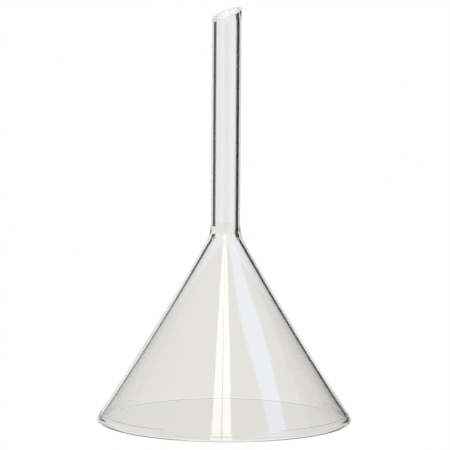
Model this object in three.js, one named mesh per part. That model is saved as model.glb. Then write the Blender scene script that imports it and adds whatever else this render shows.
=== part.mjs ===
// A conical filter funnel of clear borosilicate glass, standing upside down on its mouth.
// The origin is the centre of the mouth and +Z runs up the stem to the bevelled tip.
// The glass is one continuous wall. It is divided at level seams into the stretches that a
// glassblower works one after another: rim bead, cone, neck seal, stem and ground tip.
import * as THREE from 'three';

// Driving dimensions, in millimetres and degrees
const mouthDiameter = 70; // outside, across the rim bead
const rimHalfAngle = 33.6; // lean of the wall from the axis where it leaves the bead
const flareRadius = 800; // slow outward curve of the wall between neck and rim
const coneWall = 1.0; // square to the wall
const beadThickness = 1.2; // diameter of the fire-polished bead
const beadLand = 0.6; // width of the flat ring under the bead
const neckOuterBlend = 12; // radius that runs the cone into the stem outside
const neckInnerBlend = 3; // radius at the throat, tighter, so the seal is thicker
const stemOuterDiameter = 8;
const stemWall = 1.0;
const stemLength = 59.1; // from the end of the neck blend to the highest point of the tip
const bevelAngle = 26; // slope of the ground tip from level
const bevelDirection = 38; // compass direction of its high side, from +X towards +Y
const seamMargin = 1.5; // plain wall kept on both sides of a worked stretch
const tipMargin = 3; // plain tube kept below the lowest point of the bevel

// Fineness of the outlines
const turnSegments = 64;
const beadSteps = 6;
const flareSteps = 5;
const outerBlendSteps = 6;
const innerBlendSteps = 4;

const radians = THREE.MathUtils.degToRad;
const rimLean = radians(rimHalfAngle);
const stemRadius = stemOuterDiameter / 2;
const boreRadius = stemRadius - stemWall;
const bead = beadCircle();
const flare = flareCentre();
const outerBlend = blendOnto(stemRadius, 0, neckOuterBlend);
const innerBlend = blendOnto(boreRadius, coneWall, neckInnerBlend);
const height = outerBlend.top + stemLength;
const bevelRise = Math.tan(radians(bevelAngle));
const bevelMiddle = height - stemRadius * bevelRise;

const seams = {
  rim: bead.z + bead.radius * (1 + Math.cos(rimLean)) + seamMargin / 2,
  neckLow: Math.min(outerBlend.start, innerBlend.start) - seamMargin,
  neckHigh: Math.max(outerBlend.top, innerBlend.top) + seamMargin,
  tip: bevelMiddle - stemRadius * bevelRise - tipMargin,
};

// Section of the bead: a circle that the flat land cuts off at the bottom
function beadCircle() {
  const radius = beadThickness / 2;
  return { radius, r: mouthDiameter / 2 - radius, z: Math.sqrt(radius ** 2 - (beadLand / 2) ** 2) };
}

// The outer wall leaves the bead on a tangent, so its arc is centred on the line through both
function flareCentre() {
  const reach = bead.radius + flareRadius;
  return { r: bead.r + reach * Math.cos(rimLean), z: bead.z + reach * Math.sin(rimLean) };
}

// Arc that runs the wall, set in by an offset, into a straight tube of the given radius
function blendOnto(tubeRadius, offset, blendRadius) {
  const wallRadius = flareRadius + offset;
  const lean = Math.acos((flare.r - tubeRadius - blendRadius) / (wallRadius - blendRadius));
  const start = flare.z - wallRadius * Math.sin(lean);
  return { lean, start, top: start + blendRadius * Math.sin(lean), r: tubeRadius + blendRadius };
}

// Points on an arc about a centre, angles in radians from the +R direction
function arc(r, z, radius, from, to, steps) {
  return Array.from({ length: steps + 1 }, (_, i) => {
    const angle = from + ((to - from) * i) / steps;
    return new THREE.Vector2(r + radius * Math.cos(angle), z + radius * Math.sin(angle));
  });
}

// Bead, flared wall, blend and tube on one side of the glass, from the mouth up to the tip
function wallPath(beadArc, firstLean, offset, blend, blendRadius, blendSteps, tubeRadius) {
  const wallRadius = flareRadius + offset;
  const wall = arc(flare.r, flare.z, wallRadius, Math.PI + firstLean, Math.PI + blend.lean, flareSteps);
  const turn = arc(blend.r, blend.top, blendRadius, Math.PI + blend.lean, Math.PI, blendSteps);
  return [...beadArc.slice(0, -1), ...wall, ...turn.slice(1), new THREE.Vector2(tubeRadius, height)];
}

function outerPath() {
  const landEdge = Math.asin(-bead.z / bead.radius);
  const beadArc = arc(bead.r, bead.z, bead.radius, landEdge, rimLean, beadSteps);
  return wallPath(beadArc, rimLean, 0, outerBlend, neckOuterBlend, outerBlendSteps, stemRadius);
}

function innerPath() {
  const meet = Math.acos((bead.radius - coneWall) / bead.radius); // where bead and wall meet inside
  const landEdge = -Math.PI - Math.asin(-bead.z / bead.radius);
  const beadArc = arc(bead.r, bead.z, bead.radius, landEdge, rimLean + meet - 2 * Math.PI, beadSteps);
  const firstLean = rimLean - (bead.radius * Math.sin(meet)) / flareRadius;
  return wallPath(beadArc, firstLean, coneWall, innerBlend, neckInnerBlend, innerBlendSteps, boreRadius);
}

// The stretch of a rising path between two levels, cut off square at both
function between(path, low, high) {
  const at = (level) => {
    const i = path.findIndex((point, n) => n > 0 && point.y >= level);
    const share = (level - path[i - 1].y) / (path[i].y - path[i - 1].y);
    return new THREE.Vector2(path[i - 1].x + (path[i].x - path[i - 1].x) * share, level);
  };
  return [at(low), ...path.filter((point) => point.y > low && point.y < high), at(high)];
}

// Closed body of revolution about +Z from an outer and an inner path
function turned(outer, inner) {
  const outline = [...outer, ...inner.reverse(), outer[0].clone()];
  return new THREE.LatheGeometry(outline, turnSegments).rotateX(Math.PI / 2);
}

function stretch(low, high) {
  return turned(between(outerPath(), low, high), between(innerPath(), low, high));
}

// Slants the upper end of a tube to the plane of the bevel
function bevelled(tube) {
  const direction = radians(bevelDirection);
  const place = tube.getAttribute('position');
  for (let i = 0; i < place.count; i += 1) {
    const uphill = place.getX(i) * Math.cos(direction) + place.getY(i) * Math.sin(direction);
    if (place.getZ(i) > bevelMiddle) place.setZ(i, bevelMiddle + bevelRise * uphill);
  }
  return tube;
}

// Clear glass, each stretch a shade apart so that the seams can be told
function clearGlass(shade, roughness) {
  return new THREE.MeshStandardMaterial({ color: shade, roughness, metalness: 0, transparent: true, opacity: 0.4 });
}

function makeRimBead() {
  return new THREE.Mesh(stretch(0, seams.rim), clearGlass(0xd9dbd8, 0.06));
}

function makeConeWall() {
  return new THREE.Mesh(stretch(seams.rim, seams.neckLow), clearGlass(0xe3e3e0, 0.04));
}

function makeNeckSeal() {
  return new THREE.Mesh(stretch(seams.neckLow, seams.neckHigh), clearGlass(0xe6e6e4, 0.06));
}

function makeStemTube() {
  return new THREE.Mesh(stretch(seams.neckHigh, seams.tip), clearGlass(0xecedee, 0.04));
}

function makeBevelledTip() {
  return new THREE.Mesh(bevelled(stretch(seams.tip, height)), clearGlass(0xe4e6e5, 0.25));
}

const pieces = {
  rim_bead: makeRimBead(),
  cone_wall: makeConeWall(),
  neck_seal: makeNeckSeal(),
  stem_tube: makeStemTube(),
  bevelled_tip: makeBevelledTip(),
};

const funnel = new THREE.Group();
for (const [name, mesh] of Object.entries(pieces)) {
  mesh.name = name;
  funnel.add(mesh);
}

export default funnel;
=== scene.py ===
# Clear glass filter funnel standing on its mouth, on a plain white table.
import math
import bpy
from mathutils import Matrix, Vector


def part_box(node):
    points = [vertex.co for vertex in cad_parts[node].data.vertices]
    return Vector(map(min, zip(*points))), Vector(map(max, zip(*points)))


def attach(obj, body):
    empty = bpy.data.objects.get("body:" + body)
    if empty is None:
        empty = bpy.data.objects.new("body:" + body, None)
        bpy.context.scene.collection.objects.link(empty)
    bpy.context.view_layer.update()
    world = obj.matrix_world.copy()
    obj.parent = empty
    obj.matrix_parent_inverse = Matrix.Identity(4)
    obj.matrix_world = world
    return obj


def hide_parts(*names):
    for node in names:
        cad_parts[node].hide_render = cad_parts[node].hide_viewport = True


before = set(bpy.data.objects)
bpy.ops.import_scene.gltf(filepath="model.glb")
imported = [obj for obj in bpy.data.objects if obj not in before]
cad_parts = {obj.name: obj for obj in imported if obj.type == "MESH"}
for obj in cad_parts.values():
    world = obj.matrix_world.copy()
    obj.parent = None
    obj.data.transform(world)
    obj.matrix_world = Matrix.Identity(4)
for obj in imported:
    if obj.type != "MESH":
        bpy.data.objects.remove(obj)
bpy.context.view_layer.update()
print("stage: frame loaded,", len(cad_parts), "nodes")

# the wall is one section turned about +Z, from the mouth up to the tip
wall = {
    "mouthRadius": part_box("rim_bead")[1][0],
    "stemRadius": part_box("stem_tube")[1][0],
    "height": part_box("bevelled_tip")[1][2],
    "rimLean": math.radians(33.6),  # lean of the wall where it leaves the rim
    "flareRadius": 0.8,  # slow outward curve of the cone
    "thickness": 0.001,
    "neckOuterBlend": 0.012,
    "neckInnerBlend": 0.003,
    "flareSteps": 40,
    "blendSteps": 24,
    "stemSteps": 10,
    "turns": 256,  # steps round the axis
    "weld": 0.000002,  # points nearer than this are one
    "overshoot": 0.002,  # tube left above the tip, for the bevel to cut off
    "smoothAngle": math.radians(30),
}

# the fire-polished rim: a rounded edge that swells a little inwards and ripples outside
rim = {
    "beadRadius": 0.0006,
    "landHalf": 0.0003,  # half the width of the flat ring that it stands on
    "beadSteps": 14,
    "swell": 0.0014,  # length over which the swelling dies out
    "ripple": 0.000026,  # height of the two ridges left by the rolling tool
    "ripplePitch": 0.0009,
    "fineLength": 0.0018,
    "fineSteps": 30,
}


def arcPoints(centre, radius, start, end, steps):
    angles = [start + (end - start) * i / steps for i in range(steps + 1)]
    return [(centre[0] + radius * math.cos(a), centre[1] + radius * math.sin(a)) for a in angles]


def linePoints(start, end, steps):
    return [tuple(a + (b - a) * i / steps for a, b in zip(start, end)) for i in range(steps + 1)]


def outerOffset(run):
    if run > 2 * rim["ripplePitch"]:
        return 0
    return -rim["ripple"] * math.sin(math.pi * run / rim["ripplePitch"]) ** 2


def innerOffset(run):
    if run > rim["swell"]:
        return wall["thickness"]
    extra = 2 * rim["beadRadius"] - wall["thickness"]
    return wall["thickness"] + extra * (1 + math.cos(math.pi * run / rim["swell"])) / 2


# points up one face of the cone; offsetAt is how far the face lies inside the outer wall
def flarePoints(centre, endLean, offsetAt):
    full = (wall["rimLean"] - endLean) * wall["flareRadius"]
    rest = full - rim["fineLength"]
    runs = [rim["fineLength"] * i / rim["fineSteps"] for i in range(rim["fineSteps"])]
    runs += [rim["fineLength"] + rest * i / wall["flareSteps"] for i in range(wall["flareSteps"] + 1)]
    points = []
    for run in runs:
        angle = math.pi + wall["rimLean"] - run / wall["flareRadius"]
        reach = wall["flareRadius"] + offsetAt(run)
        points.append((centre[0] + reach * math.cos(angle), centre[1] + reach * math.sin(angle)))
    return points


# cone, blend and tube of one face
def facePoints(centre, offsetAt, depth, tubeRadius, blend):
    reach = wall["flareRadius"] + depth - blend
    lean = math.acos((centre[0] - tubeRadius - blend) / reach)
    top = centre[1] - reach * math.sin(lean)
    flare = flarePoints(centre, lean, offsetAt)
    turn = arcPoints((tubeRadius + blend, top), blend, math.pi + lean, math.pi, wall["blendSteps"])
    tube = linePoints((tubeRadius, top), (tubeRadius, wall["height"] + wall["overshoot"]), wall["stemSteps"])
    return flare + turn[1:] + tube[1:]


def wallSection():
    bead = rim["beadRadius"]
    beadCentre = (wall["mouthRadius"] - bead, math.sqrt(bead ** 2 - rim["landHalf"] ** 2))
    reach = bead + wall["flareRadius"]
    lean = wall["rimLean"]
    flareCentre = (beadCentre[0] + reach * math.cos(lean), beadCentre[1] + reach * math.sin(lean))
    landAngle = math.asin(beadCentre[1] / bead)
    boreRadius = wall["stemRadius"] - wall["thickness"]
    outerBead = arcPoints(beadCentre, bead, -landAngle, lean, rim["beadSteps"])
    innerBead = arcPoints(beadCentre, bead, landAngle - math.pi, lean - math.pi, rim["beadSteps"])
    outer = facePoints(flareCentre, outerOffset, 0, wall["stemRadius"], wall["neckOuterBlend"])
    inner = facePoints(flareCentre, innerOffset, wall["thickness"], boreRadius, wall["neckInnerBlend"])
    return outerBead[:-1] + outer + (innerBead[:-1] + inner)[::-1]


def turnedWall(name):
    points = wallSection()
    bpy.ops.object.select_all(action="DESELECT")
    bpy.ops.mesh.primitive_plane_add(size=wall["thickness"], location=(points[0][0], 0, points[0][1]))
    bpy.ops.object.mode_set(mode="EDIT")
    bpy.ops.mesh.select_all(action="SELECT")
    bpy.ops.mesh.merge(type="CENTER")
    for last, point in zip(points, points[1:] + points[:1]):
        step = (point[0] - last[0], 0, point[1] - last[1])
        bpy.ops.mesh.extrude_vertices_move(TRANSFORM_OT_translate={"value": step})
    bpy.ops.mesh.select_all(action="SELECT")
    bpy.ops.mesh.remove_doubles(threshold=wall["weld"])
    bpy.ops.mesh.spin(steps=wall["turns"], angle=2 * math.pi, center=(0, 0, 0), axis=(0, 0, 1))
    bpy.ops.mesh.select_all(action="SELECT")
    bpy.ops.mesh.remove_doubles(threshold=wall["weld"])
    bpy.ops.mesh.normals_make_consistent(inside=False)
    bpy.ops.object.mode_set(mode="OBJECT")
    piece = bpy.context.object
    piece.name = name
    bpy.ops.object.transform_apply(location=True, rotation=True, scale=True)
    return piece


def selectOnly(piece):
    bpy.ops.object.select_all(action="DESELECT")
    bpy.context.view_layer.objects.active = piece
    piece.select_set(True)


# cuts a hollow piece at a plane, keeps one side and closes the cut with a ring of faces, left selected
def cutAcross(piece, point, normal, keepBelow):
    selectOnly(piece)
    bpy.ops.object.mode_set(mode="EDIT")
    bpy.ops.mesh.select_all(action="SELECT")
    bpy.ops.mesh.bisect(plane_co=point, plane_no=normal, clear_outer=keepBelow, clear_inner=not keepBelow)
    bpy.ops.mesh.bridge_edge_loops()
    bpy.ops.object.mode_set(mode="OBJECT")


# the slanted end of the stem, ground flat with its two edges rounded
tip = {
    "slope": math.radians(26),
    "highSide": math.radians(38),  # direction of the high side, from +X towards +Y
    "polish": 0.0002,  # rounding of the edges
    "polishSteps": 4,
    "groundShare": 0.8,  # share of the rounding that the grinding reaches
}
tip["point"] = Vector((0, 0, wall["height"] - wall["stemRadius"] * math.tan(tip["slope"])))
tip["normal"] = Vector((
    -math.sin(tip["slope"]) * math.cos(tip["highSide"]),
    -math.sin(tip["slope"]) * math.sin(tip["highSide"]),
    math.cos(tip["slope"]),
))


def cutTip(piece):
    cutAcross(piece, tip["point"], tip["normal"], True)
    bpy.ops.object.mode_set(mode="EDIT")
    bpy.ops.mesh.region_to_loop()
    bpy.ops.mesh.bevel(offset=tip["polish"], segments=tip["polishSteps"], profile=0.5, clamp_overlap=False)
    bpy.ops.object.mode_set(mode="OBJECT")


def isGround(face):
    return (face.center - tip["point"]).dot(tip["normal"]) > -tip["groundShare"] * tip["polish"]


funnelWall = turnedWall("funnel_wall")
cutTip(funnelWall)
print("stage: wall turned,", len(funnelWall.data.polygons), "faces")

# drawn, fire-polished glass: a trace of tint, painted shade where the wall is seen edge-on, faint draw lines
# and a surface that isn't quite true
glass = {
    "bodyTint": (0.957, 0.952, 0.942),
    "paintedEdgeShade": (0.90, 0.90, 0.90),  # painted shade where the wall is seen edge-on, drawing dark edges in every view; it stands in for the slight extra absorption on the longer way through the glass
    "edgeBlend": 0.25,
    "index": 1.474,
    "drawScale": (700, 700, 9),
    "drawDetail": 2,
    "drawDepth": 0.000006,
    "waveScale": (70, 70, 45),
    "waveDetail": 1,
    "waveDepth": 0.00003,
}


def addBump(nodes, links, height, distance, below):
    bump = nodes.new("ShaderNodeBump")
    bump.inputs["Strength"].default_value = 1
    bump.inputs["Distance"].default_value = distance
    links.new(height, bump.inputs["Height"])
    if below:
        links.new(below, bump.inputs["Normal"])
    return bump.outputs["Normal"]


def addNoise(nodes, links, stretch, detail):
    coordinates = nodes.new("ShaderNodeTexCoord")
    mapping = nodes.new("ShaderNodeMapping")
    mapping.inputs["Scale"].default_value = stretch
    noise = nodes.new("ShaderNodeTexNoise")
    noise.inputs["Scale"].default_value = 1
    noise.inputs["Detail"].default_value = detail
    links.new(coordinates.outputs["Object"], mapping.inputs["Vector"])
    links.new(mapping.outputs["Vector"], noise.inputs["Vector"])
    return noise


def clearGlass(name, drawDepth, waveDepth):
    material = bpy.data.materials.new(name)
    material.use_nodes = True
    nodes = material.node_tree.nodes
    links = material.node_tree.links
    shader = nodes["Principled BSDF"]
    shader.inputs["Roughness"].default_value = 0
    shader.inputs["IOR"].default_value = glass["index"]
    shader.inputs["Transmission Weight"].default_value = 1
    facing = nodes.new("ShaderNodeLayerWeight")
    facing.inputs["Blend"].default_value = glass["edgeBlend"]
    # colour runs from the glass's own tint face-on to painted edge shade where the wall is seen edge-on
    tint = nodes.new("ShaderNodeMix")
    tint.data_type = "RGBA"
    tint.inputs[6].default_value = (*glass["bodyTint"], 1)
    tint.inputs[7].default_value = (*glass["paintedEdgeShade"], 1)
    links.new(facing.outputs["Facing"], tint.inputs[0])
    links.new(tint.outputs[2], shader.inputs["Base Color"])
    wave = addNoise(nodes, links, glass["waveScale"], glass["waveDetail"])
    draw = addNoise(nodes, links, glass["drawScale"], glass["drawDetail"])
    wavy = addBump(nodes, links, wave.outputs["Fac"], waveDepth, None)
    drawn = addBump(nodes, links, draw.outputs["Fac"], drawDepth, wavy)
    links.new(drawn, shader.inputs["Normal"])
    return material


# the cut end: ground with fine grit, so it is milky and scatters the light
ground = {
    "tint": (0.97, 0.975, 0.98),
    "roughness": (0.32, 0.52),
    "transmission": 0.3,
    "gritScale": (9000, 9000, 9000),
    "gritDetail": 3,
    "gritDepth": 0.00001,
}


def groundGlass(name):
    material = bpy.data.materials.new(name)
    material.use_nodes = True
    nodes = material.node_tree.nodes
    links = material.node_tree.links
    shader = nodes["Principled BSDF"]
    shader.inputs["Base Color"].default_value = (*ground["tint"], 1)
    shader.inputs["IOR"].default_value = glass["index"]
    shader.inputs["Transmission Weight"].default_value = ground["transmission"]
    grit = addNoise(nodes, links, ground["gritScale"], ground["gritDetail"])
    spread = nodes.new("ShaderNodeMapRange")
    spread.inputs["To Min"].default_value = ground["roughness"][0]
    spread.inputs["To Max"].default_value = ground["roughness"][1]
    links.new(grit.outputs["Fac"], spread.inputs["Value"])
    links.new(spread.outputs["Result"], shader.inputs["Roughness"])
    links.new(addBump(nodes, links, grit.outputs["Fac"], ground["gritDepth"], None), shader.inputs["Normal"])
    return material


# closes a piece at a seam, where the glass runs on into the next piece and there is no surface
def seamGlass(name):
    material = bpy.data.materials.new(name)
    material.use_nodes = True
    nodes = material.node_tree.nodes
    nodes.clear()
    through = nodes.new("ShaderNodeBsdfTransparent")
    out = nodes.new("ShaderNodeOutputMaterial")
    material.node_tree.links.new(through.outputs["BSDF"], out.inputs["Surface"])
    return material


# the glass of each stretch, from the mouth up
glassSlots = {
    "rim_bead": clearGlass("polished_rim_glass", 0, glass["waveDepth"]),
    "cone_wall": clearGlass("cone_glass", 0, glass["waveDepth"]),
    "neck_seal": clearGlass("seal_glass", 0, glass["waveDepth"]),
    "stem_tube": clearGlass("drawn_tube_glass", glass["drawDepth"], 0),
    "bevelled_tip": clearGlass("tip_tube_glass", glass["drawDepth"], 0),
}
seamFace = seamGlass("seam_in_glass")
groundFace = groundGlass("ground_tip_glass")
print("stage: glass made")


# one stretch of the wall, between the levels where its CAD node starts and ends
def makeStretch(name):
    low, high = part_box(name)
    piece = funnelWall.copy()
    piece.data = funnelWall.data.copy()
    piece.name = name + "_glass"
    bpy.context.collection.objects.link(piece)
    piece.data.materials.append(glassSlots[name])
    piece.data.materials.append(seamFace)
    piece.data.materials.append(groundFace)
    for level, keepBelow in ((low[2], False), (high[2], True)):
        inside = wall["thickness"] < level < wall["height"] - wall["thickness"]
        if inside:
            cutAcross(piece, (0, 0, level), (0, 0, 1), keepBelow)
            for face in piece.data.polygons:
                if face.select:
                    face.material_index = 1
    for face in piece.data.polygons:
        if isGround(face):
            face.material_index = 2
    selectOnly(piece)
    bpy.ops.object.shade_smooth_by_angle(angle=wall["smoothAngle"])
    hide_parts(name)
    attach(piece, "root")


for name in glassSlots:
    makeStretch(name)
bpy.data.objects.remove(funnelWall)
print("stage: five stretches of glass cut")

camera = {
    "distance": 0.7,
    "elevation": math.radians(5.5),
    "target": (-0.00012, 0, 0.05393),
    "lens": 204.5,
    "sensor": 36,
    "roll": math.radians(0.38),
    "clip": (0.01, 20),
}


def makeCamera():
    data = bpy.data.cameras.new("camera")
    data.lens = camera["lens"]
    data.sensor_width = camera["sensor"]
    data.clip_start, data.clip_end = camera["clip"]
    holder = bpy.data.objects.new("camera", data)
    bpy.context.collection.objects.link(holder)
    back = Vector((0, -math.cos(camera["elevation"]), math.sin(camera["elevation"])))
    holder.location = Vector(camera["target"]) + back * camera["distance"]
    turn = (-back).to_track_quat("-Z", "Y").to_matrix().to_4x4() @ Matrix.Rotation(camera["roll"], 4, "Z")
    holder.rotation_euler = turn.to_euler()
    bpy.context.scene.camera = holder


makeCamera()

# a white table and backdrop light the glass from behind; black panels round it draw its edges
studio = {
    "tableSize": 8,
    "tableDrop": 0.0001,  # the table lies this far below the rim
    "backdropRadius": 1.5,
    "backdropHeight": 0.6,
    "tableGlow": (0.90, 0.895, 0.875),
    "backdropGlow": (0.90, 0.91, 0.92),
    "roomGlow": (0.42, 0.42, 0.42),
    "screenRadius": 0.5,
    "screenHeight": 0.2,
    "screenGlow": (0.955, 0.97, 0.985),
    "mouthRadius": 0.0335,
    "mouthDrop": 0.00005,
    "mouthGlow": (0.80, 0.795, 0.78),
    "ringSides": 96,
    "cardSteps": 24,
    "seedSize": 0.001,  # size of the plane that is merged to a card's first point
    "bounces": 24,
}

# black panels that stand round the glass, each between two directions, in degrees from +X
panels = {
    "radius": 0.3,
    "height": 0.2,
    "aprons": (0.12, 0.298, 0.12),  # they run in over the table to these radii
    "lift": 0.0002,
    "glow": (0.012, 0.010, 0.016),
    "spans": ((66, -22), (155, 115), (290, 205)),
    "mirrored": (0.15, 0.8, 0.7),  # how bright each is where the glass mirrors it
}


# glows in one colour to the named kind of ray and in another to all others
def twoGlows(name, kind, colour, otherColour):
    material = bpy.data.materials.new(name)
    material.use_nodes = True
    nodes = material.node_tree.nodes
    links = material.node_tree.links
    nodes.clear()
    path = nodes.new("ShaderNodeLightPath")
    seen = nodes.new("ShaderNodeEmission")
    seen.inputs["Color"].default_value = (*colour, 1)
    cast = nodes.new("ShaderNodeEmission")
    cast.inputs["Color"].default_value = (*otherColour, 1)
    mix = nodes.new("ShaderNodeMixShader")
    out = nodes.new("ShaderNodeOutputMaterial")
    links.new(path.outputs[kind], mix.inputs[0])
    links.new(cast.outputs["Emission"], mix.inputs[1])
    links.new(seen.outputs["Emission"], mix.inputs[2])
    links.new(mix.outputs["Shader"], out.inputs["Surface"])
    return material


def whiteGlow(name, colour):
    return twoGlows(name, "Is Camera Ray", (1, 1, 1), colour)


def makeTable():
    bpy.ops.object.select_all(action="DESELECT")
    bpy.ops.mesh.primitive_plane_add(size=studio["tableSize"], location=(0, 0, -studio["tableDrop"]))
    table = bpy.context.object
    table.name = "table"
    table.data.materials.append(whiteGlow("white_table", studio["tableGlow"]))


def standingRing(name):
    height = studio[name + "Height"]
    bpy.ops.object.select_all(action="DESELECT")
    bpy.ops.mesh.primitive_cylinder_add(
        vertices=studio["ringSides"],
        radius=studio[name + "Radius"],
        depth=height,
        end_fill_type="NOTHING",
        location=(0, 0, height / 2),
    )
    ring = bpy.context.object
    ring.name = name
    ring.data.materials.append(whiteGlow("white_" + name, studio[name + "Glow"]))
    return ring


def hideFromCamera(card):
    card.visible_camera = False
    card.visible_shadow = False
    card.visible_diffuse = False


# a cooler white screen, seen through the stem, and the shaded table inside the mouth
def makeScreens():
    standingRing("backdrop")
    hideFromCamera(standingRing("screen"))
    bpy.ops.object.select_all(action="DESELECT")
    bpy.ops.mesh.primitive_circle_add(
        vertices=studio["ringSides"],
        radius=studio["mouthRadius"],
        fill_type="NGON",
        location=(0, 0, -studio["mouthDrop"]),
    )
    shade = bpy.context.object
    shade.name = "shaded_table"
    shade.data.materials.append(whiteGlow("shaded_table", studio["mouthGlow"]))
    hideFromCamera(shade)


# a black panel: a line bent up at its outer end and spun through its span
def makePanel(span, apron, glow):
    bpy.ops.object.select_all(action="DESELECT")
    place = (apron, 0, panels["lift"])
    bpy.ops.mesh.primitive_plane_add(size=studio["seedSize"], location=place)
    bpy.ops.object.mode_set(mode="EDIT")
    bpy.ops.mesh.select_all(action="SELECT")
    bpy.ops.mesh.merge(type="CENTER")
    reach = panels["radius"] - apron
    bpy.ops.mesh.extrude_vertices_move(TRANSFORM_OT_translate={"value": (reach, 0, 0)})
    bpy.ops.mesh.extrude_vertices_move(TRANSFORM_OT_translate={"value": (0, 0, panels["height"])})
    bpy.ops.mesh.select_all(action="SELECT")
    angle = math.radians(span[1] - span[0])  # negative, as the spin turns clockwise
    bpy.ops.mesh.spin(steps=studio["cardSteps"], angle=angle, center=(0, 0, 0), axis=(0, 0, 1))
    bpy.ops.object.mode_set(mode="OBJECT")
    panel = bpy.context.object
    panel.name = "black_panel"
    panel.data.materials.append(glow)
    bpy.ops.object.transform_apply(location=True, rotation=True, scale=True)
    panel.rotation_euler[2] = math.radians(span[1])
    hideFromCamera(panel)


def makePanels():
    for span, apron, mirrored in zip(panels["spans"], panels["aprons"], panels["mirrored"]):
        glow = twoGlows("black_panel", "Is Transmission Ray", panels["glow"], (mirrored, mirrored, mirrored))
        makePanel(span, apron, glow)


# lit cards that the cone mirrors as two streaks: a window in two panes, and a wider one to the side.
# An upright edge leans: it stands at the first direction, in degrees from +X, at the first level
# and at the second direction at the second level
lamps = {
    "left_pane": {
        "start": (254.7, 250.3),
        "startLevels": (0.38, 0.41),
        "end": (266.3, 266.3),
        "endLevels": (0.38, 0.41),
        "height": (0.13, 0.425),
        "colour": (1.0, 0.975, 0.91),
        "glow": 3.9,
        "soft": 0.3,
    },
    "right_pane": {
        "start": (267.5, 267.5),
        "startLevels": (0.38, 0.41),
        "end": (278.4, 281.6),
        "endLevels": (0.38, 0.41),
        "height": (0.13, 0.425),
        "colour": (1.0, 0.975, 0.91),
        "glow": 3.9,
        "soft": 0.3,
    },
    "side_window": {
        "start": (321, 299),
        "startLevels": (0.32, 0.40),
        "end": (356, 350),
        "endLevels": (0.255, 0.275),
        "height": (0.26, 0.46),
        "colour": (0.58, 0.70, 1.0),
        "glow": 2.35,
        "soft": 2,
    },
}
lampRadius = 0.28


# direction of one edge of a card at the height of the shaded point
def leaningEdge(nodes, links, height, levels, edge, base):
    lean = nodes.new("ShaderNodeMapRange")
    lean.inputs["From Min"].default_value = levels[0]
    lean.inputs["From Max"].default_value = levels[1]
    lean.inputs["To Min"].default_value = math.radians(edge[0] - base)
    lean.inputs["To Max"].default_value = math.radians(edge[1] - base)
    links.new(height, lean.inputs["Value"])
    return lean.outputs["Result"]


def addMath(nodes, links, operation, first, second):
    node = nodes.new("ShaderNodeMath")
    node.operation = operation
    links.new(first, node.inputs[0])
    links.new(second, node.inputs[1])
    return node.outputs["Value"]


def lampGlow(name, lamp, base):
    material = bpy.data.materials.new(name)
    material.use_nodes = True
    nodes = material.node_tree.nodes
    links = material.node_tree.links
    nodes.clear()
    coordinates = nodes.new("ShaderNodeTexCoord")
    split = nodes.new("ShaderNodeSeparateXYZ")
    links.new(coordinates.outputs["Object"], split.inputs["Vector"])
    angle = addMath(nodes, links, "ARCTAN2", split.outputs["Y"], split.outputs["X"])
    start = leaningEdge(nodes, links, split.outputs["Z"], lamp["startLevels"], lamp["start"], base)
    end = leaningEdge(nodes, links, split.outputs["Z"], lamp["endLevels"], lamp["end"], base)
    pastStart = addMath(nodes, links, "SUBTRACT", angle, start)
    beforeEnd = addMath(nodes, links, "SUBTRACT", end, angle)
    inside = nodes.new("ShaderNodeMapRange")
    inside.inputs["From Max"].default_value = math.radians(lamp["soft"])
    links.new(addMath(nodes, links, "MINIMUM", pastStart, beforeEnd), inside.inputs["Value"])
    clear = nodes.new("ShaderNodeBsdfTransparent")
    light = nodes.new("ShaderNodeEmission")
    light.inputs["Color"].default_value = (*lamp["colour"], 1)
    light.inputs["Strength"].default_value = lamp["glow"]
    mix = nodes.new("ShaderNodeMixShader")
    out = nodes.new("ShaderNodeOutputMaterial")
    links.new(inside.outputs["Result"], mix.inputs[0])
    links.new(clear.outputs["BSDF"], mix.inputs[1])
    links.new(light.outputs["Emission"], mix.inputs[2])
    links.new(mix.outputs["Shader"], out.inputs["Surface"])
    return material


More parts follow.
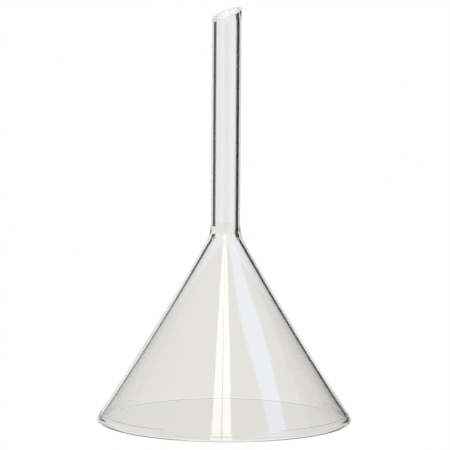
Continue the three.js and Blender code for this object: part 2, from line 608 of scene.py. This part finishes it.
def makeLamp(name, lamp):
    base = min(lamp["start"])
    low, high = lamp["height"]
    bpy.ops.object.select_all(action="DESELECT")
    bpy.ops.mesh.primitive_plane_add(size=studio["seedSize"], location=(lampRadius, 0, low))
    bpy.ops.object.mode_set(mode="EDIT")
    bpy.ops.mesh.select_all(action="SELECT")
    bpy.ops.mesh.merge(type="CENTER")
    bpy.ops.mesh.extrude_vertices_move(TRANSFORM_OT_translate={"value": (0, 0, high - low)})
    bpy.ops.mesh.select_all(action="SELECT")
    angle = math.radians(base - max(lamp["end"]))  # negative, as the spin turns clockwise
    bpy.ops.mesh.spin(steps=studio["cardSteps"], angle=angle, center=(0, 0, 0), axis=(0, 0, 1))
    bpy.ops.object.mode_set(mode="OBJECT")
    card = bpy.context.object
    card.name = name
    card.data.materials.append(lampGlow(name, lamp, base))
    bpy.ops.object.transform_apply(location=True, rotation=True, scale=True)
    card.rotation_euler[2] = math.radians(base)
    hideFromCamera(card)


softbox = {
    "size": 0.8,
    "power": 8,
    "height": 1.2,
}


def makeSoftbox():
    data = bpy.data.lights.new("softbox", "AREA")
    data.size = softbox["size"]
    data.energy = softbox["power"]
    box = bpy.data.objects.new("softbox", data)
    bpy.context.collection.objects.link(box)
    box.location = (0, 0, softbox["height"])
    box.visible_camera = False


def makeRoom():
    room = bpy.data.worlds.new("room")
    bpy.context.scene.world = room
    room.use_nodes = True
    nodes = room.node_tree.nodes
    links = room.node_tree.links
    nodes.clear()
    path = nodes.new("ShaderNodeLightPath")
    seen = nodes.new("ShaderNodeBackground")
    seen.inputs["Color"].default_value = (1, 1, 1, 1)
    dim = nodes.new("ShaderNodeBackground")
    dim.inputs["Color"].default_value = (*studio["roomGlow"], 1)
    mix = nodes.new("ShaderNodeMixShader")
    out = nodes.new("ShaderNodeOutputWorld")
    links.new(path.outputs["Is Camera Ray"], mix.inputs[0])
    links.new(dim.outputs["Background"], mix.inputs[1])
    links.new(seen.outputs["Background"], mix.inputs[2])
    links.new(mix.outputs["Shader"], out.inputs["Surface"])


makeTable()
makeScreens()
makePanels()
for name, lamp in lamps.items():
    makeLamp(name, lamp)
makeSoftbox()
makeRoom()
bpy.context.scene.view_settings.view_transform = "Standard"
bpy.context.scene.cycles.max_bounces = studio["bounces"]
bpy.context.scene.cycles.transmission_bounces = studio["bounces"]
print("stage: studio set")
